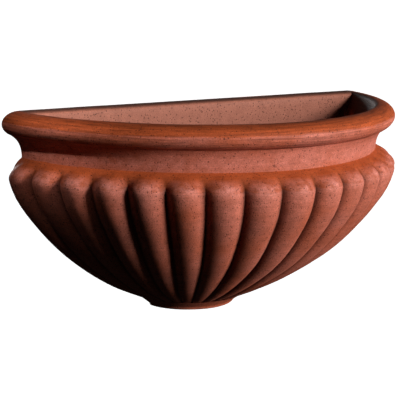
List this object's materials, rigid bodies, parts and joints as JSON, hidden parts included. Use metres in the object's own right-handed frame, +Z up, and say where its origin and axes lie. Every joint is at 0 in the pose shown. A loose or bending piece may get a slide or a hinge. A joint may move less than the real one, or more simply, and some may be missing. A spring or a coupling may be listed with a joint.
{
  "type": "wall planter",
  "caption": "Half-round terracotta wall planter with a lobed, tapering bowl, a rolled rim, a flat back drilled for hanging and a small half-round foot.",
  "frame": {"origin": "on the flat back, midway between the two hanging holes, 45 mm below the top of the rim", "axes": "+X to the right seen from the front, +Y out of the back into the wall, +Z up; the bowl stands forward along -Y"},
  "size_m": [0.404, 0.2295, 0.1895],
  "materials": {
    "terracotta": "unglazed, matt",
    "zinc_steel": "zinc plated",
    "plug_nylon": "moulded, satin"
  },
  "bodies": {
    "root": {"bowl_wall": "terracotta", "rim_roll": "terracotta", "back_slab": "terracotta", "foot": "terracotta", "wall_screw_left": "zinc_steel", "wall_screw_right": "zinc_steel", "washer_left": "zinc_steel", "washer_right": "zinc_steel", "wall_plug_left": "plug_nylon", "wall_plug_right": "plug_nylon"}
  },
  "joints": []
}
